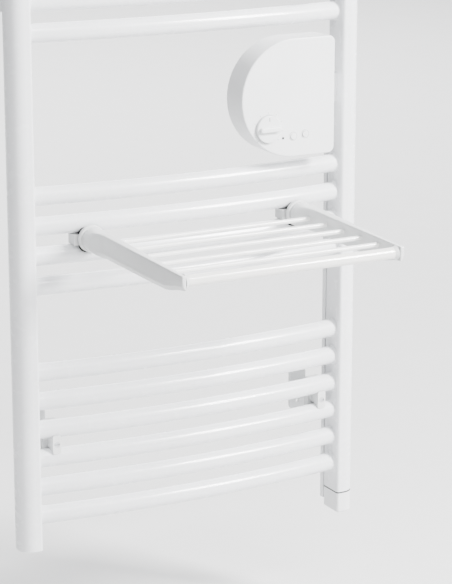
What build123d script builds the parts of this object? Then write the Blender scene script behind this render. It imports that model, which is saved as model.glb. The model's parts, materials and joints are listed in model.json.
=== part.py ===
from build123d import *
import os
from math import sqrt

# Electric towel warmer: a ladder radiator of bowed tubes between two D-section posts, with a
# control box in front of the post on its right and a clamp-on drying rack.
# Millimetres. X runs to the right along the wall, Y points into the wall, Z is up.
# The wall's face is the plane Y = 0, and the origin is the middle of the four wall screws.

# ---- ladder -------------------------------------------------------------------------------
INNER_WIDTH = 460.0        # clear width between the two posts
POST_WIDTH = 30.0          # along X
POST_DEPTH = 40.0          # along Y
POST_WALL = 1.5
POST_FLAT_CORNER = 4.0     # corner radius of the flat side that carries the tubes
POST_ROUND_SHARE = 0.475   # corner radius of the outer, rounded side, as a share of the depth
POST_OVERRUN = 42.0        # from the last tube's centre to the end of the post
WALL_TO_AXIS = 57.0        # from the wall to the plane of the post centres
TUBE_DIAMETER = 25.0
TUBE_WALL = 1.2
TUBE_BOW = 17.0            # how far the middle of a tube stands in front of its ends
TUBE_PITCH = 40.0
LOWER_TUBES = 6
MIDDLE_TUBES = 4
UPPER_TUBES = 5
TOWEL_GAP = 118.0          # centre to centre, between the lower and middle groups
BOX_CLEARANCE = 13.5       # between the control box and the tube above or below it
PLUG_FLANGE = 3.0
PLUG_DEPTH = 9.0
PLUG_CLEARANCE = 0.05
VENT_THREAD_RADIUS = 5.0
VENT_HEAD_RADIUS = 7.0
VENT_HEAD_HEIGHT = 4.0
VENT_SLOT_WIDTH = 1.2

# ---- wall brackets ------------------------------------------------------------------------
BRACKET_INSET = 25.0       # from a post's inner side to the bracket's stem
BRACKET_TUBES_IN = 2.5     # tube pitches from the ladder's end tube to the bracket
PLATE_WIDTH = 26.0
PLATE_HEIGHT = 64.0
PLATE_THICKNESS = 4.0
PLATE_CORNER = 8.0
WALL_SCREW_OFFSET = 20.0   # from the stem to the wall screw
WALL_SCREW_HOLE_RADIUS = 2.75
STEM_RADIUS = 6.0
SOCKET_RADIUS = 9.0
SOCKET_LENGTH = 22.0
SADDLE_WIDTH = 24.0
SADDLE_HEIGHT = 58.0
SADDLE_BACK = 5.0          # saddle thickness behind the tubes
SADDLE_WRAP = 5.0          # how far the saddle reaches round the back of each tube
SADDLE_CORNER = 5.0
CLAMP_WIDTH = 12.0
CLAMP_THROAT = 12.0        # height of the clamp's web, in the space between two tubes
CLAMP_HEAD_HEIGHT = 26.0
CLAMP_HEAD_CORNER = 3.0
CLAMP_OVER_TUBES = 1.0     # the clamp's face stands this far behind the tubes' fronts
CLAMP_SCREW_RADIUS = 2.0
CLAMP_SCREW_HEAD = 2.5
CLAMP_SCREW_SUNK = 0.5     # the screw's head lies this far below the clamp's face
CLAMP_SCREW_IN_STEM = 16.0

# ---- heater -------------------------------------------------------------------------------
GASKET_THICKNESS = 2.0
HEATER_HEAD_HEIGHT = 30.0
HEATER_HEAD_EDGE = 5.0
ELEMENT_RADIUS = 5.0
ELEMENT_LENGTH = 420.0
ELEMENT_SEAT = 8.0         # how deep the element sits in its head
CHANNEL_WIDTH = 14.0
CHANNEL_DEPTH = 8.0
CHANNEL_WALL = 1.2
CHANNEL_OVERLAP = 20.0     # how far the channel runs down behind the heater head

# ---- control box --------------------------------------------------------------------------
BOX_DEPTH = 43.0
BOX_REAR_DEPTH = 23.0      # from the back face to the joint between the two shells
BOX_IN_FRONT = 5.0         # the back face's distance in front of the posts' centres
BOX_END_RADIUS = 80.0      # the rounded left end, half the box's height
BOX_FLAT_WIDTH = 63.0      # from the rounded end's centre to the right side
BOX_SIDE_GAP = 30.0        # between the box and the right post
BOX_CORNER = 9.0
BOX_WALL = 2.2
BOX_EDGE = 2.0             # rounding of the front edge
SHELL_STEP = 0.6           # the rear shell is this much smaller all round
KNOB_FROM_RIGHT = 103.0    # knob centre to the box's right side
KNOB_DROP = 39.0           # knob centre below the middle of the box
KNOB_RADIUS = 18.5
KNOB_THICKNESS = 5.0
KNOB_EDGE = 1.2
KNOB_GAP = 0.4             # between the knob's back and the cover
KNOB_RECESS_CLEARANCE = 0.8
KNOB_RECESS_DEPTH = 1.0
GRIP_LENGTH = 31.0
GRIP_WIDTH = 7.0
GRIP_HEIGHT = 5.0
SHAFT_RADIUS = 3.0
SHAFT_CLEARANCE = 0.05
SHAFT_HOLE_CLEARANCE = 0.4
SWITCH_SIDE = 16.0
SWITCH_HEIGHT = 7.0
ROW_FROM_RIGHT = 80.0      # sensor lens, first in the row beside the knob, to the right side
ROW_DROP = 53.5            # lens centre below the middle of the box
ROW_RISE = 0.085           # the row rises this much per millimetre
LENS_RADIUS = 1.6
LENS_FLANGE_RADIUS = 2.6
LENS_FLANGE = 1.3
LENS_PROUD = 0.2
BUTTON_STEPS = (15.5, 34.0)  # distance of each button from the lens
BUTTON_RADIUS = 4.0
BUTTON_CLEARANCE = 0.3
BUTTON_PROUD = 1.4
BUTTON_TRAVEL = 1.0
BUTTON_FLANGE = 1.2
BUTTON_FLANGE_RADIUS = 5.4
BUTTON_STEM_RADIUS = 1.5
KEY_SWITCH_SIDE = 6.0
KEY_SWITCH_HEIGHT = 3.7
KEY_SWITCH_GAP = 0.3       # left between a pressed button's stem and its switch
BOARD_THICKNESS = 1.6
BOARD_BEHIND_COVER = 11.0  # from the cover's inner face to the board
BOARD_MARGIN = 1.5
RELAY_SIZE = (28.0, 14.0, 12.0)
RELAY_RISE = 32.0          # relay above the middle of the box
TERMINAL_SIZE = (44.0, 11.0, 12.0)
TERMINAL_DROP = 30.0       # terminal block below the middle of the box
TERMINAL_COUNT = 4
TERMINAL_HOLE_RADIUS = 2.4
TERMINAL_HOLE_DEPTH = 5.0
SCREW_BOSS_RADIUS = 4.0
COVER_SCREW_RADIUS = 1.5
COVER_SCREW_CLEARANCE = 0.2
COVER_SCREW_HEAD_RADIUS = 2.9
COVER_SCREW_HEAD = 1.8
COVER_SCREW_CROSS = (3.4, 0.8)
COVER_SCREW_CROSS_DEPTH = 1.0
GLAND_FROM_RIGHT = 90.0    # gland centre to the box's right side
GLAND_RADIUS = 7.0
GLAND_NECK_RADIUS = 5.5
GLAND_LENGTH = 11.0
GLAND_BORE_RADIUS = 3.5
HOUSING_OVERLAP = 28.0     # how far the housing reaches behind the box's right end
HOUSING_HEIGHT = 40.0
HOUSING_WALL = 2.0
HOUSING_SCREW_RADIUS = 2.0
HOUSING_SCREW_HEAD = 2.4
HOUSING_SCREW_FROM_BACK = 14.0

# ---- drying rack --------------------------------------------------------------------------
RACK_HALF_SPAN = 156.0     # from the middle to each arm's axis
RACK_ABOVE_GAP = 2.0       # arm axis above the middle of the space between two tubes
RACK_REACH = 250.0         # from the front of the lock ring to the front bar's centre
ARM_ROOT_RADIUS = 15.5
ARM_ROOT_LENGTH = 9.0
ARM_ROOT_BORE_DEPTH = 10.0
ARM_BLEND_LENGTH = 40.0    # from the round root to the flat blade
ARM_BLADE_THICKNESS = 15.0
ARM_TIP_THICKNESS = 7.0
ARM_TOP_TIP = 9.0          # top edge above the axis at the tip
ARM_BOTTOM_TIP = 10.0      # lower edge below the axis at the tip
ARM_BOTTOM_BLADE = 16.5    # lower edge below the axis where the blade starts
ARM_BOTTOM_DEEP = 18.5     # lower edge below the axis at its deepest
ARM_TAPER_LENGTH = 48.0    # length of the rising lower edge at the front
ARM_TIP_OVERRUN = 9.5      # from the bar's centre to the end of the arm
ARM_CORNER = 3.0
RING_RADIUS = 18.0
RING_WIDTH = 6.5
RING_EDGE = 1.5
RING_CLEARANCE = 0.08
RING_FACE_GAP = 0.4
HUB_RADIUS = 9.0
PAD_WIDTH = 26.0
PAD_HEIGHT = 33.0
PAD_CORNER = 6.0
PAD_FRONT = 3.0            # pad thickness in front of the tubes
PAD_WRAP = 7.0             # how far the pad reaches back between the tubes
BLOCK_WIDTH = 42.0
BLOCK_HEIGHT = 13.4
BLOCK_LENGTH = 20.0
BOLT_RADIUS = 2.5
BOLT_CLEARANCE = 0.05
BOLT_HEAD = 3.0
BOLT_IN_ARM = 7.0          # how far the draw bolt reaches into the arm's root
JAW_WIDTH = 24.0
JAW_HEIGHT = 50.0
JAW_CORNER = 5.0
JAW_BACK = 6.0             # jaw thickness behind the tubes
JAW_WRAP = 4.0
BAR_RADIUS = 7.5
BAR_WALL = 1.2
COLLAR_RADIUS = 9.4
COLLAR_LENGTH = 5.0
COLLAR_SPIGOT = 14.0
ROD_RADIUS = 3.2
ROD_COUNT = 5
ROD_PITCH = 42.0
ROD_FIRST = 40.0           # from the front of the lock ring to the first rod
ROD_SEAT_FROM_AXIS = 1.0   # a rod ends this far short of the arm's middle plane
ROD_ABOVE_AXIS = 1.5
SEAT_CLEARANCE = 0.05      # round a rod, spigot or plug in its seat

CONTACT = 0.3              # clearance of curved faces that rest against each other

# ---- values that follow -------------------------------------------------------------------
HALF_INNER = INNER_WIDTH / 2
POST_X = HALF_INNER + POST_WIDTH / 2
TUBE_RADIUS = TUBE_DIAMETER / 2
BOX_GAP = 2 * (BOX_END_RADIUS + BOX_CLEARANCE + TUBE_RADIUS)
BOW_RADIUS = (HALF_INNER ** 2 + TUBE_BOW ** 2) / (2 * TUBE_BOW)
LADDER_SPAN = (LOWER_TUBES + MIDDLE_TUBES + UPPER_TUBES - 3) * TUBE_PITCH + TOWEL_GAP + BOX_GAP
TUBE_Z = []
for first, count in (
    (-LADDER_SPAN / 2, LOWER_TUBES),
    (-LADDER_SPAN / 2 + (LOWER_TUBES - 1) * TUBE_PITCH + TOWEL_GAP, MIDDLE_TUBES),
    (LADDER_SPAN / 2 - (UPPER_TUBES - 1) * TUBE_PITCH, UPPER_TUBES),
):
    TUBE_Z += [first + TUBE_PITCH * step for step in range(count)]
TOP_OF_MIDDLE = TUBE_Z[LOWER_TUBES + MIDDLE_TUBES - 1]
POST_END = LADDER_SPAN / 2 + POST_OVERRUN
POST_BACK = WALL_TO_AXIS - POST_DEPTH / 2
BRACKET_X = HALF_INNER - BRACKET_INSET
BRACKET_Z = LADDER_SPAN / 2 - BRACKET_TUBES_IN * TUBE_PITCH
BOX_Z = TOP_OF_MIDDLE + BOX_GAP / 2
BOX_BACK = WALL_TO_AXIS + BOX_IN_FRONT
BOX_SPLIT = BOX_BACK + BOX_REAR_DEPTH
BOX_FRONT = BOX_BACK + BOX_DEPTH
BOX_RIGHT = HALF_INNER - BOX_SIDE_GAP
BOX_END_X = BOX_RIGHT - BOX_FLAT_WIDTH
KNOB_X = BOX_RIGHT - KNOB_FROM_RIGHT
ROW_X = BOX_RIGHT - ROW_FROM_RIGHT
GLAND_X = BOX_RIGHT - GLAND_FROM_RIGHT
HOUSING_LEFT = BOX_RIGHT - HOUSING_OVERLAP
KNOB_Z = BOX_Z - KNOB_DROP
ROW_Z = BOX_Z - ROW_DROP
GAP_Z = TOP_OF_MIDDLE - 1.5 * TUBE_PITCH
RACK_Z = GAP_Z + RACK_ABOVE_GAP


def tube_depth(x):
    """Distance from the wall to a tube's centre line, x from the middle."""
    return WALL_TO_AXIS + TUBE_BOW - BOW_RADIUS + sqrt(BOW_RADIUS ** 2 - x ** 2)


def at_depth(depth):
    """Upright plane parallel to the wall, its normal pointing into the room."""
    return Plane.XZ.offset(depth)


def from_wall(sketch, near, far):
    """Prism of an (x, z) sketch between two distances from the wall."""
    return extrude(at_depth(near) * sketch, far - near)


def pin_y(x, z, radius, near, far):
    """Round pin square to the wall."""
    return from_wall(Pos(x, z) * Circle(radius), near, far)


def pin_x(depth, z, radius, x0, x1):
    """Round pin along the wall."""
    return extrude(Plane.YZ.offset(x0) * Pos(-depth, z) * Circle(radius), x1 - x0)


def group(solids):
    """Several separate solids in one node."""
    return Compound(children=list(solids))


# ---- ladder -------------------------------------------------------------------------------
def tube_solid(z, outer, inner=0.0):
    """Bowed tube between the posts' flat sides, solid when inner is zero."""
    reach = HALF_INNER + TUBE_RADIUS
    end = (reach, -tube_depth(reach))
    path = ThreePointArc((-reach, -tube_depth(reach)), (0, -tube_depth(0)), end)
    section = Circle(outer) - Circle(inner) if inner else Circle(outer)
    start = Plane(origin=path @ 0, z_dir=path % 0)
    bowed = sweep(start * section, path=path)
    trimmed = bowed & Box(INNER_WIDTH, 4 * WALL_TO_AXIS, 2 * TUBE_DIAMETER)
    return Pos(0, 0, z) * trimmed.solid()


def tubes_near(z, margin):
    """The two tubes either side of height z, grown by a margin, to cut their seats."""
    near = sorted(TUBE_Z, key=lambda height: abs(height - z))[:2]
    return [tube_solid(height, TUBE_RADIUS + margin) for height in near]


def post_section(side, shrink):
    """D-section across a post: flat towards the tubes, rounded outwards."""
    outline = Rectangle(POST_WIDTH - 2 * shrink, POST_DEPTH - 2 * shrink)
    outline = fillet(outline.vertices().sort_by(Axis.X)[:2], POST_FLAT_CORNER - shrink)
    outline = fillet(outline.vertices().sort_by(Axis.X)[-2:], POST_ROUND_SHARE * POST_DEPTH - shrink)
    if side < 0:
        outline = mirror(outline, Plane.YZ)
    return Pos(side * POST_X, -WALL_TO_AXIS) * outline


def upright(section, bottom, top):
    """Prism of an (x, y) section between two heights."""
    return extrude(Pos(0, 0, bottom) * section, top - bottom)


def post(side):
    """Hollow post, open at both ends, bored where each tube joins."""
    body = upright(post_section(side, 0) - post_section(side, POST_WALL), -POST_END, POST_END)
    ends = sorted((side * (HALF_INNER - 1), side * (HALF_INNER + 2 * POST_WALL)))
    bores = [pin_x(WALL_TO_AXIS, z, TUBE_RADIUS - TUBE_WALL, *ends) for z in TUBE_Z]
    return body - bores


def post_plug(side, end, hole_radius=0.0):
    """Plastic plug with a flange over the end of a post."""
    inner = POST_WALL + PLUG_CLEARANCE
    flange = upright(post_section(side, 0), POST_END, POST_END + PLUG_FLANGE)
    top = flange.faces().sort_by(Axis.Z)[-1]
    flange = chamfer(top.edges(), PLUG_FLANGE / 3)
    plug = flange + upright(post_section(side, inner), POST_END - PLUG_DEPTH, POST_END)
    if hole_radius:
        plug -= Pos(side * POST_X, -WALL_TO_AXIS, POST_END) * Cylinder(hole_radius, 6 * PLUG_DEPTH)
    return plug if end > 0 else mirror(plug, Plane.XY)


def air_vent():
    """Bleed plug in the left post's top plug, with a hexagon head."""
    top = POST_END + PLUG_FLANGE
    head = upright(RegularPolygon(VENT_HEAD_RADIUS, 6), top, top + VENT_HEAD_HEIGHT)
    thread = upright(Circle(VENT_THREAD_RADIUS), POST_END - 2 * PLUG_DEPTH, top)
    cut = Rectangle(2 * VENT_HEAD_RADIUS, VENT_SLOT_WIDTH)
    slot = upright(cut, top + VENT_HEAD_HEIGHT / 2, top + VENT_HEAD_HEIGHT)
    return Pos(-POST_X, -WALL_TO_AXIS) * (head + thread - slot)


# ---- wall brackets ------------------------------------------------------------------------
def at_brackets(solid):
    """The upper right bracket piece and its three mirror images."""
    upper = [solid, mirror(solid, Plane.YZ)]
    return group(upper + [mirror(piece, Plane.XY) for piece in upper])


SADDLE_FACE = tube_depth(BRACKET_X) - TUBE_RADIUS - SADDLE_BACK
CLAMP_FRONT = tube_depth(BRACKET_X) + TUBE_RADIUS - CLAMP_OVER_TUBES
CLAMP_SEAT = CLAMP_FRONT - CLAMP_SCREW_SUNK - CLAMP_SCREW_HEAD
WEB_BACK = tube_depth(BRACKET_X) - TUBE_RADIUS + SADDLE_WRAP


def bracket_plate():
    """Wall plate with a socket for the stem and one screw hole above it."""
    outline = RectangleRounded(PLATE_WIDTH, PLATE_HEIGHT, PLATE_CORNER)
    plate = from_wall(Pos(BRACKET_X, BRACKET_Z) * outline, 0, PLATE_THICKNESS)
    socket = pin_y(BRACKET_X, BRACKET_Z, SOCKET_RADIUS, PLATE_THICKNESS, SOCKET_LENGTH)
    stem_radius = STEM_RADIUS + SEAT_CLEARANCE
    bore = pin_y(BRACKET_X, BRACKET_Z, stem_radius, PLATE_THICKNESS, SOCKET_LENGTH)
    screw_z = BRACKET_Z + WALL_SCREW_OFFSET
    hole = pin_y(BRACKET_X, screw_z, WALL_SCREW_HOLE_RADIUS, 0, PLATE_THICKNESS)
    return plate + socket - bore - hole


def bracket_stem():
    """Round stem from the wall plate's socket to the saddle."""
    stem = pin_y(BRACKET_X, BRACKET_Z, STEM_RADIUS, PLATE_THICKNESS, SADDLE_FACE)
    return stem - clamp_screw_shank(SEAT_CLEARANCE)


def bracket_saddle():
    """Block behind two tubes, hollowed to their backs."""
    block = Pos(BRACKET_X, BRACKET_Z) * RectangleRounded(SADDLE_WIDTH, SADDLE_HEIGHT, SADDLE_CORNER)
    saddle = from_wall(block, SADDLE_FACE, WEB_BACK)
    return saddle - tubes_near(BRACKET_Z, CONTACT) - clamp_screw_shank(SEAT_CLEARANCE)


def bracket_clamp():
    """T-shaped clamp whose web passes between the tubes and whose head holds their fronts."""
    web = Pos(BRACKET_X, BRACKET_Z) * Rectangle(CLAMP_WIDTH, CLAMP_THROAT)
    head = RectangleRounded(CLAMP_WIDTH, CLAMP_HEAD_HEIGHT, CLAMP_HEAD_CORNER)
    clamp = from_wall(web, WEB_BACK, CLAMP_FRONT)
    clamp += from_wall(Pos(BRACKET_X, BRACKET_Z) * head, tube_depth(BRACKET_X), CLAMP_FRONT)
    seat_radius = 2 * CLAMP_SCREW_RADIUS + SEAT_CLEARANCE
    clamp -= pin_y(BRACKET_X, BRACKET_Z, seat_radius, CLAMP_SEAT, CLAMP_FRONT)
    return clamp - tubes_near(BRACKET_Z, CONTACT) - clamp_screw_shank(SEAT_CLEARANCE)


def clamp_screw_shank(margin):
    """Shank of the clamp screw, from the clamp's head into the stem."""
    end = SADDLE_FACE - CLAMP_SCREW_IN_STEM
    return pin_y(BRACKET_X, BRACKET_Z, CLAMP_SCREW_RADIUS + margin, end, CLAMP_SEAT)


def bracket_screw():
    """Clamp screw with a slotted cheese head sunk in the clamp."""
    head_front = CLAMP_SEAT + CLAMP_SCREW_HEAD
    head = pin_y(BRACKET_X, BRACKET_Z, 2 * CLAMP_SCREW_RADIUS, CLAMP_SEAT, head_front)
    cut = Rectangle(5 * CLAMP_SCREW_RADIUS, CLAMP_SCREW_RADIUS / 2)
    slot = from_wall(Pos(BRACKET_X, BRACKET_Z) * cut, head_front - CLAMP_SCREW_HEAD / 2, head_front)
    return clamp_screw_shank(0) + head - slot


# ---- heater -------------------------------------------------------------------------------
def heater_gasket():
    """Flat seal between the right post's lower end and the heater head."""
    ring = upright(post_section(1, 0), -POST_END - GASKET_THICKNESS, -POST_END)
    bore = Cylinder(ELEMENT_RADIUS + SEAT_CLEARANCE, 4 * GASKET_THICKNESS)
    return ring - Pos(POST_X, -WALL_TO_AXIS, -POST_END) * bore


def heater_head():
    """Plastic head below the right post, holding the heating element."""
    top = -POST_END - GASKET_THICKNESS
    head = upright(post_section(1, 0), top - HEATER_HEAD_HEIGHT, top)
    bottom = head.faces().sort_by(Axis.Z)[0]
    head = chamfer(bottom.edges(), HEATER_HEAD_EDGE / 2)
    seat = upright(Circle(ELEMENT_RADIUS + SEAT_CLEARANCE), top - ELEMENT_SEAT, top)
    return head - Pos(POST_X, -WALL_TO_AXIS) * seat


def heating_element():
    """Immersed heating element standing in the right post."""
    foot = -POST_END - GASKET_THICKNESS - ELEMENT_SEAT
    rod = Pos(POST_X, -WALL_TO_AXIS) * upright(Circle(ELEMENT_RADIUS), foot, foot + ELEMENT_LENGTH)
    tip = rod.faces().sort_by(Axis.Z)[-1]
    return fillet(tip.edges(), ELEMENT_RADIUS * 0.9)


HOUSING_TOP = BOX_Z + HOUSING_HEIGHT / 2
HOUSING_BOTTOM = BOX_Z - HOUSING_HEIGHT / 2
HOUSING_SCREW_DEPTH = POST_BACK + HOUSING_SCREW_FROM_BACK
HOUSING_SCREW_Z = (BOX_Z - HOUSING_HEIGHT / 4, BOX_Z + HOUSING_HEIGHT / 4)
CHANNEL_X = HALF_INNER + CHANNEL_WIDTH / 2


def wire_channel():
    """Open channel on the back of the right post, for the heater's wires."""
    bottom = -POST_END - CHANNEL_OVERLAP
    middle = CHANNEL_DEPTH / 2 - POST_BACK
    outside = Rectangle(CHANNEL_WIDTH, CHANNEL_DEPTH)
    trunk = Pos(CHANNEL_X, middle) * upright(outside, bottom, HOUSING_BOTTOM)
    inside = Rectangle(CHANNEL_WIDTH - 2 * CHANNEL_WALL, CHANNEL_DEPTH - CHANNEL_WALL)
    hollow = upright(inside, bottom + CHANNEL_WALL, HOUSING_BOTTOM)
    return trunk - Pos(CHANNEL_X, middle - CHANNEL_WALL / 2) * hollow


# ---- control box --------------------------------------------------------------------------
COVER_INNER = BOX_FRONT - BOX_WALL
BOARD_FRONT = COVER_INNER - BOARD_BEHIND_COVER
BOARD_BACK = BOARD_FRONT - BOARD_THICKNESS
SCREW_END = COVER_INNER - BOX_WALL
RECESS_FLOOR = BOX_FRONT - KNOB_RECESS_DEPTH
KNOB_BACK = RECESS_FLOOR + KNOB_GAP
SWITCH_FACE = BOARD_FRONT + SWITCH_HEIGHT
SHAFT_HOLE_FLOOR = BOARD_FRONT + SWITCH_HEIGHT / 4
COVER_SCREWS = (
    (BOX_RIGHT - 12, BOX_Z - BOX_END_RADIUS + 12),
    (BOX_RIGHT - 12, BOX_Z + BOX_END_RADIUS - 12),
    (BOX_END_X - 27, BOX_Z + BOX_END_RADIUS - 16),
    (BOX_END_X - BOX_END_RADIUS + 15, BOX_Z - 11),
)
BUTTONS = [(ROW_X + step, ROW_Z + step * ROW_RISE) for step in BUTTON_STEPS]


def box_outline(shrink):
    """Front outline of the control box: half a circle on the left, square on the right."""
    height = 2 * (BOX_END_RADIUS - shrink)
    width = BOX_RIGHT - shrink - BOX_END_X
    square = Pos(BOX_END_X + width / 2, BOX_Z) * Rectangle(width, height)
    square = fillet(square.vertices().sort_by(Axis.X)[-2:], BOX_CORNER - shrink)
    left_half = Rectangle(2 * BOX_END_RADIUS, 3 * BOX_END_RADIUS)
    left_half = Pos(BOX_END_X - BOX_END_RADIUS, BOX_Z) * left_half
    return square + (Pos(BOX_END_X, BOX_Z) * Circle(BOX_END_RADIUS - shrink) & left_half)


def front_cover():
    """Front shell with a dished seat for the dial, button holes and screw bosses."""
    cover = from_wall(box_outline(0), BOX_SPLIT, BOX_FRONT)
    front = cover.faces().sort_by(Axis.Y)[0]
    cover = fillet(front.edges(), BOX_EDGE)
    cover -= from_wall(box_outline(BOX_WALL), BOX_SPLIT, COVER_INNER)
    for x, z in COVER_SCREWS:
        cover += pin_y(x, z, SCREW_BOSS_RADIUS, BOARD_FRONT, COVER_INNER)
        cover -= pin_y(x, z, COVER_SCREW_RADIUS + SEAT_CLEARANCE, BOARD_FRONT, SCREW_END + 1)
    for x, z in BUTTONS:
        cover -= pin_y(x, z, BUTTON_RADIUS + BUTTON_CLEARANCE, COVER_INNER, BOX_FRONT)
    cover -= pin_y(ROW_X, ROW_Z, LENS_RADIUS + SEAT_CLEARANCE, COVER_INNER, BOX_FRONT)
    cover -= pin_y(KNOB_X, KNOB_Z, KNOB_RADIUS + KNOB_RECESS_CLEARANCE, RECESS_FLOOR, BOX_FRONT)
    return cover - pin_y(KNOB_X, KNOB_Z, SHAFT_RADIUS + SHAFT_HOLE_CLEARANCE, COVER_INNER, BOX_FRONT)


def rear_shell():
    """Back shell with its screw bosses and the hole for the cable gland."""
    shell = from_wall(box_outline(SHELL_STEP), BOX_BACK, BOX_SPLIT)
    shell -= from_wall(box_outline(SHELL_STEP + BOX_WALL), BOX_BACK + BOX_WALL, BOX_SPLIT)
    bore = COVER_SCREW_RADIUS + COVER_SCREW_CLEARANCE
    sink = COVER_SCREW_HEAD_RADIUS + COVER_SCREW_CLEARANCE
    for x, z in COVER_SCREWS:
        shell += pin_y(x, z, SCREW_BOSS_RADIUS, BOX_BACK, BOARD_BACK)
        shell -= pin_y(x, z, bore, BOX_BACK, BOARD_BACK)
        shell -= pin_y(x, z, sink, BOX_BACK, BOX_BACK + COVER_SCREW_HEAD)
    neck_hole = GLAND_NECK_RADIUS + SEAT_CLEARANCE
    return shell - pin_y(GLAND_X, BOX_Z, neck_hole, BOX_BACK, BOX_BACK + BOX_WALL)


def cable_gland():
    """Rear gland where a mains cable enters, bored through."""
    body = pin_y(GLAND_X, BOX_Z, GLAND_RADIUS, BOX_BACK - GLAND_LENGTH, BOX_BACK)
    nut = body.faces().sort_by(Axis.Y)[-1]
    body = chamfer(nut.edges(), GLAND_RADIUS - GLAND_NECK_RADIUS)
    neck_end = BOX_BACK + 2 * BOX_WALL
    neck = pin_y(GLAND_X, BOX_Z, GLAND_NECK_RADIUS, BOX_BACK, neck_end)
    bore = pin_y(GLAND_X, BOX_Z, GLAND_BORE_RADIUS, BOX_BACK - GLAND_LENGTH, neck_end)
    return body + neck - bore


def cover_screws():
    """Four screws from the back shell through the board into the cover."""
    head_depth = BOX_BACK + COVER_SCREW_HEAD
    long_side, short_side = COVER_SCREW_CROSS
    cross = Rectangle(long_side, short_side) + Rectangle(short_side, long_side)
    screws = []
    for x, z in COVER_SCREWS:
        head = pin_y(x, z, COVER_SCREW_HEAD_RADIUS, BOX_BACK, head_depth)
        recess = from_wall(Pos(x, z) * cross, BOX_BACK, BOX_BACK + COVER_SCREW_CROSS_DEPTH)
        screws.append(head + pin_y(x, z, COVER_SCREW_RADIUS, head_depth, SCREW_END) - recess)
    return group(screws)


def circuit_board():
    """Board inside the box, drilled for the cover screws."""
    board = from_wall(box_outline(BOX_WALL + BOARD_MARGIN), BOARD_BACK, BOARD_FRONT)
    holes = [
        pin_y(x, z, COVER_SCREW_RADIUS + COVER_SCREW_CLEARANCE, BOARD_BACK, BOARD_FRONT)
        for x, z in COVER_SCREWS
    ]
    return board - holes


def on_board(x, z, width, height, near, far):
    """Square-sided component between two distances from the wall."""
    return from_wall(Pos(x, z) * Rectangle(width, height), near, far)


def dial_switch():
    """Rotary switch behind the dial, bored for the dial's shaft."""
    body = on_board(KNOB_X, KNOB_Z, SWITCH_SIDE, SWITCH_SIDE, BOARD_FRONT, SWITCH_FACE)
    return body - pin_y(KNOB_X, KNOB_Z, SHAFT_RADIUS + SHAFT_CLEARANCE, SHAFT_HOLE_FLOOR, SWITCH_FACE)


def key_switches():
    """One push switch behind each button."""
    side = KEY_SWITCH_SIDE
    top = BOARD_FRONT + KEY_SWITCH_HEIGHT
    return group([on_board(x, z, side, side, BOARD_FRONT, top) for x, z in BUTTONS])


def power_relay():
    """Relay that switches the heating element, behind the board."""
    width, height, depth = RELAY_SIZE
    return on_board(BOX_END_X, BOX_Z + RELAY_RISE, width, height, BOARD_BACK - depth, BOARD_BACK)


def terminal_block():
    """Screw terminals for the wires, behind the board."""
    width, height, depth = TERMINAL_SIZE
    z = BOX_Z - TERMINAL_DROP
    back = BOARD_BACK - depth
    block = on_board(BOX_END_X, z, width, height, back, BOARD_BACK)
    pitch = width / TERMINAL_COUNT
    for number in range(TERMINAL_COUNT):
        x = BOX_END_X - width / 2 + (number + 0.5) * pitch
        block -= pin_y(x, z, TERMINAL_HOLE_RADIUS, back, back + TERMINAL_HOLE_DEPTH)
    return block


def dial_knob():
    """Round dial with a grip bar across it and a blind bore for its shaft."""
    disc = pin_y(KNOB_X, KNOB_Z, KNOB_RADIUS, KNOB_BACK, KNOB_BACK + KNOB_THICKNESS)
    rim = disc.faces().sort_by(Axis.Y)[0]
    disc = fillet(rim.edges(), KNOB_EDGE)
    bar = Pos(KNOB_X, KNOB_Z) * SlotOverall(GRIP_LENGTH, GRIP_WIDTH)
    grip = from_wall(bar, KNOB_BACK + KNOB_THICKNESS / 2, KNOB_BACK + KNOB_THICKNESS + GRIP_HEIGHT)
    crest = grip.faces().sort_by(Axis.Y)[0]
    grip = fillet(crest.edges(), GRIP_WIDTH / 4)
    bore = pin_y(KNOB_X, KNOB_Z, SHAFT_RADIUS + SHAFT_CLEARANCE, KNOB_BACK, KNOB_BACK + KNOB_THICKNESS)
    return disc + grip - bore


def dial_shaft():
    """Shaft from the dial to its switch, turning with the dial."""
    start = SHAFT_HOLE_FLOOR + CONTACT
    return pin_y(KNOB_X, KNOB_Z, SHAFT_RADIUS, start, KNOB_BACK + KNOB_THICKNESS)


def push_button(x, z):
    """Button cap held behind the cover by its flange, with a stem towards its switch."""
    flange_back = COVER_INNER - CONTACT - BUTTON_FLANGE
    cap = pin_y(x, z, BUTTON_RADIUS, COVER_INNER - CONTACT, BOX_FRONT + BUTTON_PROUD)
    face = cap.faces().sort_by(Axis.Y)[0]
    cap = fillet(face.edges(), BUTTON_PROUD / 3)
    flange = pin_y(x, z, BUTTON_FLANGE_RADIUS, flange_back, COVER_INNER - CONTACT)
    stem_end = BOARD_FRONT + KEY_SWITCH_HEIGHT + KEY_SWITCH_GAP + BUTTON_TRAVEL
    return cap + flange + pin_y(x, z, BUTTON_STEM_RADIUS, stem_end, flange_back)


def sensor_lens():
    """Small dark lens in the cover, held by a flange behind it."""
    lens = pin_y(ROW_X, ROW_Z, LENS_RADIUS, COVER_INNER, BOX_FRONT + LENS_PROUD)
    return lens + pin_y(ROW_X, ROW_Z, LENS_FLANGE_RADIUS, COVER_INNER - LENS_FLANGE, COVER_INNER)


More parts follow.
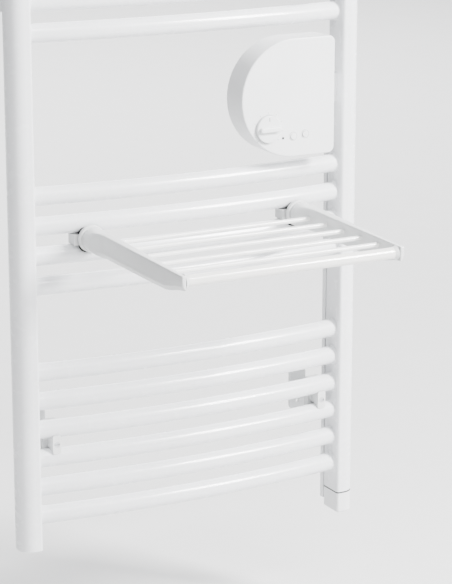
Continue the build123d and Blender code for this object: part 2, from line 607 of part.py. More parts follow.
def box_housing():
    """Hollow housing behind the box: it carries the box on the post and leads its wires."""
    def shape(shrink):
        back = POST_BACK - CHANNEL_DEPTH + shrink
        left = HOUSING_LEFT + shrink
        inner_side = HALF_INNER - shrink
        right = HALF_INNER + CHANNEL_WIDTH - shrink
        height = HOUSING_HEIGHT - 2 * shrink
        front_part = Pos((left + inner_side) / 2, BOX_Z) * Rectangle(inner_side - left, height)
        rear_part = Pos((left + right) / 2, BOX_Z) * Rectangle(right - left, height)
        solid = from_wall(front_part, back, BOX_BACK - shrink)
        return solid + from_wall(rear_part, back, POST_BACK - shrink)
    return shape(0) - shape(HOUSING_WALL) - housing_screw_shanks(SEAT_CLEARANCE)


def housing_screw_shanks(margin):
    """Screws from inside the housing into the post, above and below its middle."""
    radius = HOUSING_SCREW_RADIUS + margin
    ends = (HALF_INNER - HOUSING_WALL, HALF_INNER)
    return [pin_x(HOUSING_SCREW_DEPTH, z, radius, *ends) for z in HOUSING_SCREW_Z]


def housing_screws():
    """Heads and shanks of the two screws that hold the housing to the post."""
    head_end = HALF_INNER - HOUSING_WALL
    ends = (head_end - HOUSING_SCREW_HEAD, head_end)
    screws = []
    for z, shank in zip(HOUSING_SCREW_Z, housing_screw_shanks(0)):
        head = pin_x(HOUSING_SCREW_DEPTH, z, 2 * HOUSING_SCREW_RADIUS, *ends)
        screws.append(head + shank)
    return group(screws)


# ---- drying rack --------------------------------------------------------------------------
TUBE_AXIS = tube_depth(RACK_HALF_SPAN)
PAD_FACE = TUBE_AXIS + TUBE_RADIUS + PAD_FRONT
RING_BACK = PAD_FACE + RING_FACE_GAP
RING_FRONT = RING_BACK + RING_WIDTH
ARM_BACK = RING_FRONT + RING_FACE_GAP
BAR_DEPTH = RING_FRONT + RACK_REACH
ARM_END = BAR_DEPTH + ARM_TIP_OVERRUN
BLADE_START = ARM_BACK + ARM_ROOT_LENGTH + ARM_BLEND_LENGTH
TAPER_START = ARM_END - ARM_TAPER_LENGTH
TAPER_SHARE = (TAPER_START - BLADE_START) / (ARM_END - BLADE_START)
TAPER_WIDTH = ARM_BLADE_THICKNESS + TAPER_SHARE * (ARM_TIP_THICKNESS - ARM_BLADE_THICKNESS)
BLOCK_FRONT = TUBE_AXIS + TUBE_RADIUS
JAW_FACE = TUBE_AXIS - TUBE_RADIUS + JAW_WRAP
ROD_Z = RACK_Z + ROD_ABOVE_AXIS
ROD_DEPTHS = [RING_FRONT + ROD_FIRST + ROD_PITCH * step for step in range(ROD_COUNT)]


def on_side(side, solid):
    """A right-hand rack piece, mirrored for the left side."""
    return solid if side > 0 else mirror(solid, Plane.YZ)


def draw_bolt_bore(near, far):
    """Clearance bore round the draw bolt."""
    return pin_y(RACK_HALF_SPAN, RACK_Z, BOLT_RADIUS + BOLT_CLEARANCE, near, far)


def arm_section(depth, width, top, bottom):
    """Rounded section across an arm, its top and bottom measured from the rack's axis."""
    corner = min(ARM_CORNER, width / 2 - 0.1)
    if depth <= ARM_BACK + ARM_ROOT_LENGTH:
        corner = ARM_ROOT_RADIUS - 0.01
    middle = RACK_Z + (top - bottom) / 2
    return at_depth(depth) * Pos(RACK_HALF_SPAN, middle) * RectangleRounded(width, top + bottom, corner)


def rack_arm(side):
    """Arm: a round root that blends into a blade, deepest near the front, and a hub behind."""
    root = ARM_ROOT_RADIUS
    taper_top = root + TAPER_SHARE * (ARM_TOP_TIP - root)
    sections = [
        arm_section(ARM_BACK + ARM_ROOT_LENGTH, 2 * root, root, root),
        arm_section(BLADE_START, ARM_BLADE_THICKNESS, root, ARM_BOTTOM_BLADE),
        arm_section(TAPER_START, TAPER_WIDTH, taper_top, ARM_BOTTOM_DEEP),
        arm_section(ARM_END, ARM_TIP_THICKNESS, ARM_TOP_TIP, ARM_BOTTOM_TIP),
    ]
    arm = pin_y(RACK_HALF_SPAN, RACK_Z, root, ARM_BACK, ARM_BACK + ARM_ROOT_LENGTH)
    for near, far in zip(sections, sections[1:]):
        arm += loft([near, far], ruled=True)
    arm += pin_y(RACK_HALF_SPAN, RACK_Z, HUB_RADIUS, BLOCK_FRONT, ARM_BACK)
    arm -= draw_bolt_bore(BLOCK_FRONT, ARM_BACK + ARM_ROOT_BORE_DEPTH)
    arm -= [rod_solid(depth, SEAT_CLEARANCE) for depth in ROD_DEPTHS]
    return on_side(side, arm)


def rod_solid(depth, margin=0.0):
    """Round rod across the rack, its ends seated in the arms."""
    end = RACK_HALF_SPAN - ROD_SEAT_FROM_AXIS + margin
    return pin_x(depth, ROD_Z, ROD_RADIUS + margin, -end, end)


def rack_rods():
    """The rods between the arms."""
    return group([rod_solid(depth) for depth in ROD_DEPTHS])


BAR_SHARE = (BAR_DEPTH - ARM_END + ARM_TAPER_LENGTH) / ARM_TAPER_LENGTH
ARM_AT_BAR = TAPER_WIDTH + BAR_SHARE * (ARM_TIP_THICKNESS - TAPER_WIDTH)
BAR_END = RACK_HALF_SPAN - ARM_AT_BAR / 2 - CONTACT


def front_bar():
    """Front tube between the two collars."""
    end = BAR_END - COLLAR_LENGTH
    bar = pin_x(BAR_DEPTH, RACK_Z, BAR_RADIUS, -end, end)
    return bar - pin_x(BAR_DEPTH, RACK_Z, BAR_RADIUS - BAR_WALL, -end, end)


def bar_collars():
    """Flared plugs in the ends of the front tube, against the arms."""
    start = BAR_END - COLLAR_LENGTH
    foot = Plane.YZ.offset(start) * Pos(-BAR_DEPTH, RACK_Z) * Circle(BAR_RADIUS)
    flare = Plane.YZ.offset(BAR_END) * Pos(-BAR_DEPTH, RACK_Z) * Circle(COLLAR_RADIUS)
    spigot_radius = BAR_RADIUS - BAR_WALL - SEAT_CLEARANCE
    collar = loft([foot, flare]) + pin_x(BAR_DEPTH, RACK_Z, spigot_radius, start - COLLAR_SPIGOT, start)
    return group([collar, mirror(collar, Plane.YZ)])


def lock_ring(side):
    """Ring round the arm's hub that tightens the jaw."""
    ring = pin_y(RACK_HALF_SPAN, RACK_Z, RING_RADIUS, RING_BACK, RING_FRONT)
    ring = fillet(ring.edges(), RING_EDGE)
    bore = pin_y(RACK_HALF_SPAN, RACK_Z, HUB_RADIUS + RING_CLEARANCE, RING_BACK, RING_FRONT)
    return on_side(side, ring - bore)


def saddle_pad(side):
    """Rubber pad between the ring and the tubes, hollowed to the tubes' fronts."""
    shape = Pos(RACK_HALF_SPAN, GAP_Z) * RectangleRounded(PAD_WIDTH, PAD_HEIGHT, PAD_CORNER)
    pad = from_wall(shape, BLOCK_FRONT - PAD_WRAP, PAD_FACE)
    block = Pos(RACK_HALF_SPAN, GAP_Z) * Rectangle(2 * PAD_WIDTH, BLOCK_HEIGHT + 2 * SEAT_CLEARANCE)
    pad -= from_wall(block, BLOCK_FRONT - PAD_WRAP, BLOCK_FRONT)
    pad -= pin_y(RACK_HALF_SPAN, RACK_Z, HUB_RADIUS + SEAT_CLEARANCE, BLOCK_FRONT, PAD_FACE)
    return on_side(side, pad - tubes_near(GAP_Z, CONTACT))


def clamp_block(side):
    """Block between two tubes that carries the arm and guides the draw bolt."""
    shape = Pos(RACK_HALF_SPAN, GAP_Z) * Rectangle(BLOCK_WIDTH, BLOCK_HEIGHT)
    block = from_wall(shape, BLOCK_FRONT - BLOCK_LENGTH, BLOCK_FRONT)
    block -= draw_bolt_bore(BLOCK_FRONT - BLOCK_LENGTH, BLOCK_FRONT)
    return on_side(side, block - tubes_near(GAP_Z, CONTACT))


def rear_jaw(side):
    """Jaw that grips the backs of two tubes."""
    shape = Pos(RACK_HALF_SPAN, GAP_Z) * RectangleRounded(JAW_WIDTH, JAW_HEIGHT, JAW_CORNER)
    jaw = from_wall(shape, TUBE_AXIS - TUBE_RADIUS - JAW_BACK, JAW_FACE)
    jaw -= tubes_near(GAP_Z, CONTACT)
    return on_side(side, jaw - draw_bolt_bore(0, JAW_FACE))


def draw_bolt(side):
    """Bolt that pulls the jaw forwards, its head behind the jaw."""
    jaw_back = TUBE_AXIS - TUBE_RADIUS - JAW_BACK
    head = pin_y(RACK_HALF_SPAN, RACK_Z, 2 * BOLT_RADIUS, jaw_back - BOLT_HEAD, jaw_back)
    shank = pin_y(RACK_HALF_SPAN, RACK_Z, BOLT_RADIUS, jaw_back, ARM_BACK + BOLT_IN_ARM)
    return on_side(side, head + shank)


# ---- all nodes ----------------------------------------------------------------------------
def all_nodes():
    """Every node's name and shape."""
    tube = tube_solid(0, TUBE_RADIUS, TUBE_RADIUS - TUBE_WALL)
    nodes = {f"tube_{number:02d}": Pos(0, 0, z) * tube for number, z in enumerate(TUBE_Z, 1)}
    nodes["post_left"] = post(-1)
    nodes["post_right"] = post(1)
    vent_hole = VENT_THREAD_RADIUS + SEAT_CLEARANCE
    plugs = [post_plug(-1, 1, vent_hole), post_plug(1, 1), post_plug(-1, -1)]
    nodes["post_plugs"] = group(plugs)
    nodes["air_vent"] = air_vent()
    nodes["bracket_plates"] = at_brackets(bracket_plate())
    nodes["bracket_stems"] = at_brackets(bracket_stem())
    nodes["bracket_saddles"] = at_brackets(bracket_saddle())
    nodes["bracket_clamps"] = at_brackets(bracket_clamp())
    nodes["bracket_screws"] = at_brackets(bracket_screw())
    nodes["heater_gasket"] = heater_gasket()
    nodes["heater_head"] = heater_head()
    nodes["heating_element"] = heating_element()
    nodes["wire_channel"] = wire_channel()
    nodes["box_housing"] = box_housing()
    nodes["housing_screws"] = housing_screws()
    nodes["rear_shell"] = rear_shell()
    nodes["front_cover"] = front_cover()
    nodes["cover_screws"] = cover_screws()
    nodes["cable_gland"] = cable_gland()
    nodes["circuit_board"] = circuit_board()
    nodes["dial_switch"] = dial_switch()
    nodes["key_switches"] = key_switches()
    nodes["power_relay"] = power_relay()
    nodes["terminal_block"] = terminal_block()
    nodes["sensor_lens"] = sensor_lens()
    nodes["dial_knob"] = dial_knob()
    nodes["dial_shaft"] = dial_shaft()
    nodes["button_left"] = push_button(*BUTTONS[0])
    nodes["button_right"] = push_button(*BUTTONS[1])
    nodes["rack_rods"] = rack_rods()
    nodes["front_bar"] = front_bar()
    nodes["bar_collars"] = bar_collars()
    for side, name in ((-1, "left"), (1, "right")):
        nodes[f"rack_arm_{name}"] = rack_arm(side)
        nodes[f"lock_ring_{name}"] = lock_ring(side)
        nodes[f"saddle_pad_{name}"] = saddle_pad(side)
        nodes[f"clamp_block_{name}"] = clamp_block(side)
        nodes[f"rear_jaw_{name}"] = rear_jaw(side)
        nodes[f"draw_bolt_{name}"] = draw_bolt(side)
    return nodes


os.makedirs("parts", exist_ok=True)
for node_name, shape in all_nodes().items():
    export_step(shape, f"parts/{node_name}.step")
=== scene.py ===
import bmesh
import bpy
import json
from math import cos, hypot, pi, radians, sin, sqrt
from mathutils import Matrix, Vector


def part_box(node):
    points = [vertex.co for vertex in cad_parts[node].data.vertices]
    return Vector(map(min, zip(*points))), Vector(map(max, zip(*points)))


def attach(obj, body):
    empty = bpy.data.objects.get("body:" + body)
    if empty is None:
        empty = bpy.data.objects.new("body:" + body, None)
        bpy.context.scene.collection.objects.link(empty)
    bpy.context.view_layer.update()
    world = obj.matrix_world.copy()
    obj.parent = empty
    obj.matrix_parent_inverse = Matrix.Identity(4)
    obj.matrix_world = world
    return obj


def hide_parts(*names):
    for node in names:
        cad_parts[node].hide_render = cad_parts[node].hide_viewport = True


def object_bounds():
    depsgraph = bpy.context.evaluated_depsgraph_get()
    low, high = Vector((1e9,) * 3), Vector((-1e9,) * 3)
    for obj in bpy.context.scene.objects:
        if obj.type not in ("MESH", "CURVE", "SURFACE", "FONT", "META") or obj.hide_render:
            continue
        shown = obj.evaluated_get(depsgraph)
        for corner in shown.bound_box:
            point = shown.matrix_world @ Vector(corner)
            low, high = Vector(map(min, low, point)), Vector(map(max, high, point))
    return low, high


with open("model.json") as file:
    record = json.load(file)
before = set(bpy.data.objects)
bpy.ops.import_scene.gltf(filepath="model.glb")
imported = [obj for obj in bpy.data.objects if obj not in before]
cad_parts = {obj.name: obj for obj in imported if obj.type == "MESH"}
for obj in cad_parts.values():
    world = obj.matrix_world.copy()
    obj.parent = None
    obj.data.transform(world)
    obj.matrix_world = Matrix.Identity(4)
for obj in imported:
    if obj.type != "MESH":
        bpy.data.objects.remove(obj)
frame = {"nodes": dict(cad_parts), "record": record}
cad_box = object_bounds()

# Ladder towel warmer with a control box and a clamp-on drying rack. Metres, X right along the
# wall, Y into the wall, Z up, origin in the middle of the wall screws.

# ---- places taken from the frame ----------------------------------------------------------
TUBES = [f"tube_{number:02d}" for number in range(1, 16)]
tube_low, tube_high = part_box(TUBES[0])
TUBE_RADIUS = (tube_high[2] - tube_low[2]) / 2
HALF_INNER = tube_high[0]
TUBE_MIDDLE_Y = tube_low[1] + TUBE_RADIUS
TUBE_END_Y = tube_high[1] - TUBE_RADIUS
TUBE_BOW = TUBE_END_Y - TUBE_MIDDLE_Y
BOW_RADIUS = (HALF_INNER ** 2 + TUBE_BOW ** 2) / (2 * TUBE_BOW)

COVER_FRONT_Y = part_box("front_cover")[0][1]


def centre(node):
    """Middle of a CAD node's box."""
    low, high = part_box(node)
    return Vector([(a + b) / 2 for a, b in zip(low, high)])


# ---- materials ----------------------------------------------------------------------------
DRIFT_SIZE = 0.09          # patches of slow colour drift
GLOSS_SIZE = 0.012         # patches of uneven gloss
DUST_SIZE = 0.0011         # specks of dust
DUST_COLOUR = (0.55, 0.54, 0.52)


def link(tree, source, target):
    tree.links.new(source, target)


def node(tree, kind, **inputs):
    """A shader node with some of its inputs set by name."""
    made = tree.nodes.new(kind)
    for name, value in inputs.items():
        made.inputs[name.replace("_", " ")].default_value = value
    return made


def noise(tree, coordinates, size, detail=3.0, stretch=(1.0, 1.0, 1.0)):
    """Noise whose features are about `size` metres across, drawn out along some axes."""
    mapping = node(tree, "ShaderNodeMapping", Scale=stretch)
    texture = node(tree, "ShaderNodeTexNoise", Scale=1.0 / size, Detail=detail)
    link(tree, coordinates, mapping.inputs["Vector"])
    link(tree, mapping.outputs["Vector"], texture.inputs["Vector"])
    return texture.outputs["Fac"]


def remap(tree, value, low, high, start=0.3, end=0.7):
    """A value between start and end, stretched to the range low to high."""
    ranged = node(tree, "ShaderNodeMapRange")
    sockets = ("From Min", "From Max", "To Min", "To Max")
    for socket, number in zip(sockets, (start, end, low, high)):
        ranged.inputs[socket].default_value = number
    link(tree, value, ranged.inputs["Value"])
    return ranged.outputs["Result"]


def mix(tree, factor, first, second):
    """Two colours mixed; each is a tuple or a socket."""
    mixer = tree.nodes.new("ShaderNodeMix")
    mixer.data_type = "RGBA"
    link(tree, factor, mixer.inputs["Factor"])
    for socket, colour in (("A", first), ("B", second)):
        target = [s for s in mixer.inputs if s.name == socket and s.type == "RGBA"][0]
        if isinstance(colour, tuple):
            target.default_value = (*colour, 1.0)
        else:
            link(tree, colour, target)
    return [s for s in mixer.outputs if s.type == "RGBA"][0]


def surface(
    name, colour, rough, grain, relief,
    metallic=0.0, coat=0.0, rough_spread=0.05, tint=0.04, dust=0.0, stretch=(1.0, 1.0, 1.0),
):
    """A finish with fine relief, patchy gloss, slow colour drift and dust on upward faces."""
    material = bpy.data.materials.new(name)
    material.use_nodes = True
    tree = material.node_tree
    shader = tree.nodes["Principled BSDF"]
    place = tree.nodes.new("ShaderNodeTexCoord").outputs["Object"]

    darker = tuple(channel * (1 - tint) for channel in colour)
    base = mix(tree, remap(tree, noise(tree, place, DRIFT_SIZE), 0.0, 1.0), darker, colour)
    gloss = noise(tree, place, GLOSS_SIZE, 6.0, stretch)
    worn = remap(tree, gloss, rough - rough_spread, rough + rough_spread)
    if dust:
        normal = tree.nodes.new("ShaderNodeNewGeometry").outputs["Normal"]
        upward = tree.nodes.new("ShaderNodeSeparateXYZ")
        link(tree, normal, upward.inputs["Vector"])
        facing = remap(tree, upward.outputs["Z"], 0.0, 1.0, 0.35, 0.95)
        specks = remap(tree, noise(tree, place, DUST_SIZE, 8.0), 0.0, dust, 0.45, 0.62)
        settled = tree.nodes.new("ShaderNodeMath")
        settled.operation = "MULTIPLY"
        link(tree, facing, settled.inputs[0])
        link(tree, specks, settled.inputs[1])
        base = mix(tree, settled.outputs["Value"], base, DUST_COLOUR)
    link(tree, base, shader.inputs["Base Color"])
    link(tree, worn, shader.inputs["Roughness"])

    bump = node(tree, "ShaderNodeBump", Strength=1.0, Distance=relief)
    link(tree, noise(tree, place, grain, 4.0, stretch), bump.inputs["Height"])
    link(tree, bump.outputs["Normal"], shader.inputs["Normal"])
    shader.inputs["Metallic"].default_value = metallic
    shader.inputs["Coat Weight"].default_value = coat
    shader.inputs["Coat Roughness"].default_value = rough / 3
    return material


ALONG_X = (0.06, 1.0, 1.0)

MATERIALS = {
    "enamel": surface(
        "enamel", (0.80, 0.81, 0.83), 0.25, 0.0025, 0.000007, coat=0.35, dust=0.08),
    "white_plastic": surface(
        "white_plastic", (0.80, 0.81, 0.82), 0.36, 0.0005, 0.00001, dust=0.08),
    # The grey of arm_plastic is painted shade: the arms and lock rings are darkened below the
    # other white plastic to stand in for the shade on their sides.
    "arm_plastic": surface(
        "arm_plastic", (0.66, 0.67, 0.67), 0.38, 0.0006, 0.000012, coat=0.1, dust=0.06),
    "bar_enamel": surface(
        "bar_enamel", (0.84, 0.83, 0.80), 0.20, 0.0020, 0.000005, coat=0.5, dust=0.05),
    "rod_enamel": surface(
        "rod_enamel", (0.83, 0.83, 0.82), 0.22, 0.0014, 0.000006, coat=0.4, dust=0.06,
        stretch=ALONG_X),
    "bracket_plastic": surface(
        "bracket_plastic", (0.70, 0.71, 0.71), 0.48, 0.0005, 0.00002, dust=0.12),
    "steel": surface(
        "steel", (0.60, 0.61, 0.63), 0.34, 0.0009, 0.00002, metallic=1.0, tint=0.12,
        rough_spread=0.1),
    "vent_chrome": surface(
        "vent_chrome", (0.80, 0.80, 0.81), 0.12, 0.003, 0.000006, metallic=1.0),
    "rubber": surface(
        "rubber", (0.028, 0.028, 0.029), 0.74, 0.0007, 0.00004, rough_spread=0.1, tint=0.2),
    "dark_plastic": surface(
        "dark_plastic", (0.05, 0.05, 0.055), 0.5, 0.0006, 0.00002, tint=0.15),
    "lens": surface(
        "lens", (0.010, 0.009, 0.011), 0.08, 0.002, 0.000003, rough_spread=0.03, coat=0.6),
    "board": surface(
        "board", (0.03, 0.17, 0.07), 0.35, 0.0016, 0.00003, tint=0.35),
    "terminal_green": surface(
        "terminal_green", (0.06, 0.26, 0.15), 0.45, 0.0008, 0.00002, tint=0.12),
    "print_grey": surface(
        "print_grey", (0.26, 0.27, 0.29), 0.5, 0.0004, 0.000005, tint=0.15),
    "floor": surface(
        "floor", (0.83, 0.83, 0.83), 0.6, 0.004, 0.00004, tint=0.02),
}

for row in frame["record"]["subparts"]:
    cad_node = frame["nodes"][row["node"]]
    cad_node.data.materials.clear()
    cad_node.data.materials.append(MATERIALS[row["material_slot"]])


# ---- mesh helpers -------------------------------------------------------------------------
SHARP_ANGLE = radians(32)  # faces that turn more than this meet at a hard edge


def piece(name, mesh, material, body):
    """A new object from a bmesh, smooth but for its hard edges, riding on a body."""
    bmesh.ops.recalc_face_normals(mesh, faces=mesh.faces)
    data = bpy.data.meshes.new(name)
    mesh.to_mesh(data)
    mesh.free()
    data.materials.append(MATERIALS[material])
    data.polygons.foreach_set("use_smooth", [True] * len(data.polygons))
    data.set_sharp_from_angle(angle=SHARP_ANGLE)
    made = bpy.data.objects.new(name, data)
    bpy.context.scene.collection.objects.link(made)
    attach(made, body)
    return made


def join_rows(mesh, rows):
    """Quads between successive closed rows of vertices."""
    for low, high in zip(rows, rows[1:]):
        for index in range(len(low)):
            after = (index + 1) % len(low)
            mesh.faces.new((low[index], low[after], high[after], high[index]))


def skin(mesh, rings):
    """A skin over successive rings of points, with a face over each end."""
    rows = [[mesh.verts.new(point) for point in ring] for ring in rings]
    join_rows(mesh, rows)
    mesh.faces.new(rows[0])
    mesh.faces.new(list(reversed(rows[-1])))


def smoothstep(value):
    value = min(max(value, 0.0), 1.0)
    return value * value * (3 - 2 * value)


def tube_y(x):
    """Y of a tube's centre line."""
    return TUBE_MIDDLE_Y + BOW_RADIUS - sqrt(BOW_RADIUS ** 2 - x ** 2)


# ---- weld fillets where the tubes meet the posts ------------------------------------------
WELD = 0.0022              # how far a fillet reaches along its tube and onto the post
WELD_STEPS = 5
WELD_POINTS = 40


def weld_rings(side, height):
    """Rings of a concave fillet that narrows from the post's face onto a tube's end."""
    rings = []
    for step in range(WELD_STEPS + 1):
        away = WELD * step / WELD_STEPS
        flare = WELD - sqrt(WELD ** 2 - (WELD - away) ** 2)
        radius = TUBE_RADIUS + flare
        x = HALF_INNER - away
        ring = []
        for index in range(WELD_POINTS):
            turn = 2 * pi * index / WELD_POINTS
            ring.append((side * x, tube_y(x) + radius * cos(turn), height + radius * sin(turn)))
        rings.append(ring)
    return rings


welds = bmesh.new()
for tube in TUBES:
    height = centre(tube).z
    for side in (-1, 1):
        skin(welds, weld_rings(side, height))
piece("weld_fillets", welds, "enamel", "ladder")

# ---- rack arms ----------------------------------------------------------------------------
ARM_POINTS = 72
ARM_STATIONS = 64
HUB_RADIUS = 0.009
ARM_EDGE = 0.0016          # rounding of the arm's ends
EDGE_STEPS = 4
RING_CLEARANCE = 0.0004    # between the ring's front and the arm's round root
ROOT_LENGTH = 0.009
BLEND_LENGTH = 0.040       # from the round root to the square blade
TAPER_LENGTH = 0.052       # over which the blade's lower side rises to the tip
BLADE_HALF_WIDTH = 0.0075
TIP_HALF_WIDTH = 0.0030
TIP_TOP = 0.009            # the tip's top and bottom, from the height of the ring's middle
TIP_BOTTOM = 0.010
BEVEL_HEIGHT = 0.0065
BEVEL_DEPTH = 0.0040
ROUND = 2                  # the section's power: a circle or an oval
BLADE_SQUARENESS = 7       # and a rounded oblong


def signed_power(value, power):
    return (1 if value > 0 else -1) * abs(value) ** power


def arm_ring(x, y, side, half_width, top, bottom, squareness, bevel, axis_z):
    """Section across an arm at y: round or squarer, bevelled along its lower outer edge."""
    ring = []
    for index in range(ARM_POINTS):
        turn = 2 * pi * (index + 0.5) / ARM_POINTS
        across = signed_power(cos(turn), 2 / squareness)
        up = signed_power(sin(turn), 2 / squareness)
        outward = across * half_width
        rise = (top - bottom) / 2 + up * (top + bottom) / 2
        below = BEVEL_HEIGHT - (rise + bottom)
        if bevel and below > 0:
            outward = min(outward, half_width - bevel * BEVEL_DEPTH * below / BEVEL_HEIGHT)
        ring.append((x + side * outward, y, axis_z + rise))
    return ring


def arm_mesh(side, cad_name, ring_name):
    """Arm from its hub behind the ring to its tip, as one closed skin."""
    low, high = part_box(cad_name)
    x = (low[0] + high[0]) / 2
    root = (high[0] - low[0]) / 2
    axis_z = centre(ring_name).z
    front_of_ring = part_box(ring_name)[0][1]
    root_y = front_of_ring - RING_CLEARANCE
    blade_y = root_y - ROOT_LENGTH - BLEND_LENGTH
    taper_y = low[1] + TAPER_LENGTH
    deepest = axis_z - low[2]

    def round_ring(y, radius):
        return arm_ring(x, y, side, radius, radius, radius, ROUND, 0, axis_z)

    rings = [round_ring(high[1], HUB_RADIUS), round_ring(root_y, HUB_RADIUS)]
    for step in range(EDGE_STEPS + 1):
        turn = pi / 2 * step / EDGE_STEPS
        radius = root - ARM_EDGE + ARM_EDGE * sin(turn)
        rings.append(round_ring(root_y - ARM_EDGE * (1 - cos(turn)), radius))

    start_y = root_y - ROOT_LENGTH
    for step in range(ARM_STATIONS + 1):
        y = start_y + (low[1] + ARM_EDGE - start_y) * step / ARM_STATIONS
        blend = smoothstep((start_y - y) / BLEND_LENGTH)
        along = min(max((blade_y - y) / (blade_y - low[1]), 0.0), 1.0)
        taper = smoothstep((taper_y - y) / TAPER_LENGTH)
        blade = BLADE_HALF_WIDTH + (TIP_HALF_WIDTH - BLADE_HALF_WIDTH) * along
        half_width = root + (blade - root) * blend
        top = root + (TIP_TOP - root) * along
        bottom = root + (deepest - root) * smoothstep((start_y - y) / (start_y - taper_y))
        bottom += (TIP_BOTTOM - deepest) * taper
        squareness = ROUND + (BLADE_SQUARENESS - ROUND) * blend
        rings.append(arm_ring(x, y, side, half_width, top, bottom, squareness, blend, axis_z))
    tip = (half_width, top, bottom)
    for step in range(1, EDGE_STEPS + 1):
        turn = pi / 2 * step / EDGE_STEPS
        inset = ARM_EDGE * (1 - cos(turn))
        y = low[1] + ARM_EDGE - ARM_EDGE * sin(turn)
        sizes = [size - inset for size in tip]
        rings.append(arm_ring(x, y, side, *sizes, BLADE_SQUARENESS, 1, axis_z))
    mesh = bmesh.new()
    skin(mesh, rings)
    return mesh


for side, name in ((-1, "left"), (1, "right")):
    mesh = arm_mesh(side, f"rack_arm_{name}", f"lock_ring_{name}")
    # Painted shade: the arms take arm_plastic, a darkened grey that stands in for the shade on
    # their sides.
    arm = piece(f"arm_{name}", mesh, "arm_plastic", "ladder")
    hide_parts(f"rack_arm_{name}")

# ---- printed marks on the control box ------------------------------------------------------
INK = 0.00006              # height of printed ink above the cover
SINK = 0.0002              # how far a printed mark reaches into the cover
SCALE_TICKS = 9
SCALE_SWEEP = radians(270)
SCALE_RADIUS = 0.0220
TICK_LENGTH = 0.0022
TICK_WIDTH = 0.0005
END_TICK_LENGTH = 0.0032
BUTTON_RING_INNER = 0.0056
BUTTON_RING_OUTER = 0.0060


def printed_bar(mesh, middle, angle, length, width, front_y=COVER_FRONT_Y):
    """Flat bar of ink on the face at front_y, pointing at `angle` clockwise from straight up."""
    along = Vector((sin(angle), 0, cos(angle))) * length / 2
    across = Vector((cos(angle), 0, -sin(angle))) * width / 2
    corners = [along + across, along - across, -along - across, across - along]
    rings = []
    for y in (front_y + SINK, front_y - INK):
        rings.append([Vector((middle[0] + c.x, y, middle[1] + c.z)) for c in corners])
    skin(mesh, rings)


def printed_ring(mesh, x, z, inner, outer, points=48):
    """Flat ring of ink on the cover."""
    profile = ((inner, SINK), (outer, SINK), (outer, -INK), (inner, -INK))
    loops = []
    for index in range(points):
        turn = 2 * pi * index / points
        loops.append([
            (x + r * cos(turn), COVER_FRONT_Y + y, z + r * sin(turn)) for r, y in profile])
    rows = [[mesh.verts.new(point) for point in loop] for loop in loops]
    join_rows(mesh, rows + rows[:1])


marks = bmesh.new()
dial = centre("dial_knob")
for tick in range(SCALE_TICKS):
    angle = -SCALE_SWEEP / 2 + SCALE_SWEEP * tick / (SCALE_TICKS - 1)
    length = END_TICK_LENGTH if tick in (0, SCALE_TICKS - 1) else TICK_LENGTH
    spot = (dial.x + SCALE_RADIUS * sin(angle), dial.z + SCALE_RADIUS * cos(angle))
    printed_bar(marks, spot, angle, length, TICK_WIDTH)
for button in ("button_left", "button_right"):
    spot = centre(button)
    printed_ring(marks, spot.x, spot.z, BUTTON_RING_INNER, BUTTON_RING_OUTER)
piece("cover_marks", marks, "print_grey", "ladder")

POINTER_LENGTH = 0.0052
POINTER_WIDTH = 0.0011
POINTER_FROM_AXIS = 0.0133
FACE_EDGE_RADIUS = 0.017           # only the disc's face and rim lie further from the dial's axis


def dial_face_y():
    """Y of the dial's round face, which lies behind its grip."""
    knob = frame["nodes"]["dial_knob"]
    points = [knob.matrix_world @ vertex.co for vertex in knob.data.vertices]
    return min(p.y for p in points if hypot(p.x - dial.x, p.z - dial.z) > FACE_EDGE_RADIUS)


pointer = bmesh.new()
spot = (dial.x, dial.z + POINTER_FROM_AXIS)
printed_bar(pointer, spot, 0.0, POINTER_LENGTH, POINTER_WIDTH, front_y=dial_face_y())
piece("dial_pointer", pointer, "print_grey", "dial")

# ---- stage, light and camera --------------------------------------------------------------
FLOOR_HALF_SIZE = 6.0
FLOOR_DROP = 0.15          # from the warmer's lower end to the floor

floor_mesh = bmesh.new()
bmesh.ops.create_grid(floor_mesh, x_segments=1, y_segments=1, size=FLOOR_HALF_SIZE)
floor_data = bpy.data.meshes.new("studio_floor")
floor_mesh.to_mesh(floor_data)
floor_mesh.free()
floor_data.materials.append(MATERIALS["floor"])
floor = bpy.data.objects.new("studio_floor", floor_data)
floor.location = (0, 0, cad_box[0][2] - FLOOR_DROP)
bpy.context.scene.collection.objects.link(floor)


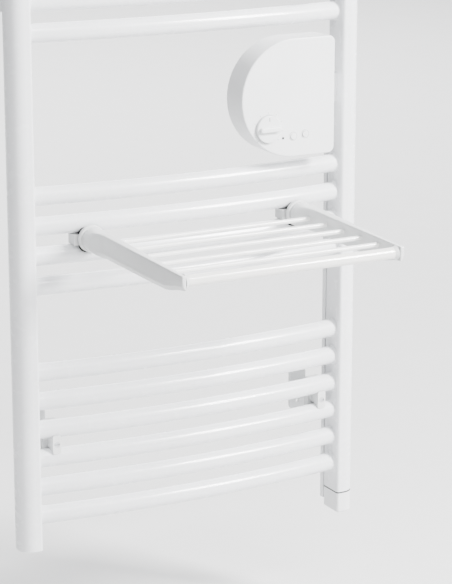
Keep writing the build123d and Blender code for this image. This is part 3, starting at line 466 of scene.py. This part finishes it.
def soft_light(name, place, target, width, height, watts, colour=(1.0, 1.0, 1.0)):
    """Rectangular soft box at a place, facing its target."""
    data = bpy.data.lights.new(name, "AREA")
    data.shape = "RECTANGLE"
    data.size, data.size_y = width, height
    data.energy = watts
    data.color = colour
    lamp = bpy.data.objects.new(name, data)
    lamp.location = place
    bpy.context.scene.collection.objects.link(lamp)
    lamp.rotation_euler = (Vector(target) - lamp.location).to_track_quat("-Z", "Y").to_euler()


soft_light("key", (1.5, -1.9, 1.5), (0, 0, 0), 0.6, 1.1, 330, (1.0, 0.995, 0.985))
soft_light("front", (-0.3, -2.2, 2.2), (0, 0, 0), 1.6, 0.35, 70)
soft_light("floor_wash", (1.8, 4.4, 2.2), (1.8, 4.4, 0), 5.0, 5.0, 430)

# The room's own light: bright above and on the right, dim in front and on the left.
BRIGHT_SIDE = (0.70, 0.30, 0.65)
DIMMEST, BRIGHTEST = 0.42, 1.25

world = bpy.data.worlds.new("studio")
world.use_nodes = True
sky = world.node_tree
direction = sky.nodes.new("ShaderNodeTexCoord").outputs["Generated"]
towards = node(sky, "ShaderNodeVectorMath")
towards.operation = "DOT_PRODUCT"
towards.inputs[1].default_value = BRIGHT_SIDE
link(sky, direction, towards.inputs[0])
strength = remap(sky, towards.outputs["Value"], DIMMEST, BRIGHTEST, -0.5, 1.0)
sky.nodes["Background"].inputs["Color"].default_value = (0.97, 0.98, 1.0, 1.0)
link(sky, strength, sky.nodes["Background"].inputs["Strength"])
bpy.context.scene.world = world

# The camera's place is a fit to the photograph's view.
CAMERA_PLACE = (-1.3512, -2.6575, 0.6628)
CAMERA_AZIMUTH = radians(28.47)    # it looks this far to the right of straight at the wall
CAMERA_PITCH = radians(15.03)      # and this far down
CAMERA_LENS = 137.6                # mm, on a sensor 36 mm wide

camera_data = bpy.data.cameras.new("camera")
camera_data.sensor_width = 36.0
camera_data.lens = CAMERA_LENS
camera = bpy.data.objects.new("camera", camera_data)
camera.location = CAMERA_PLACE
camera.rotation_euler = (pi / 2 - CAMERA_PITCH, 0, -CAMERA_AZIMUTH)
bpy.context.scene.collection.objects.link(camera)
bpy.context.scene.camera = camera
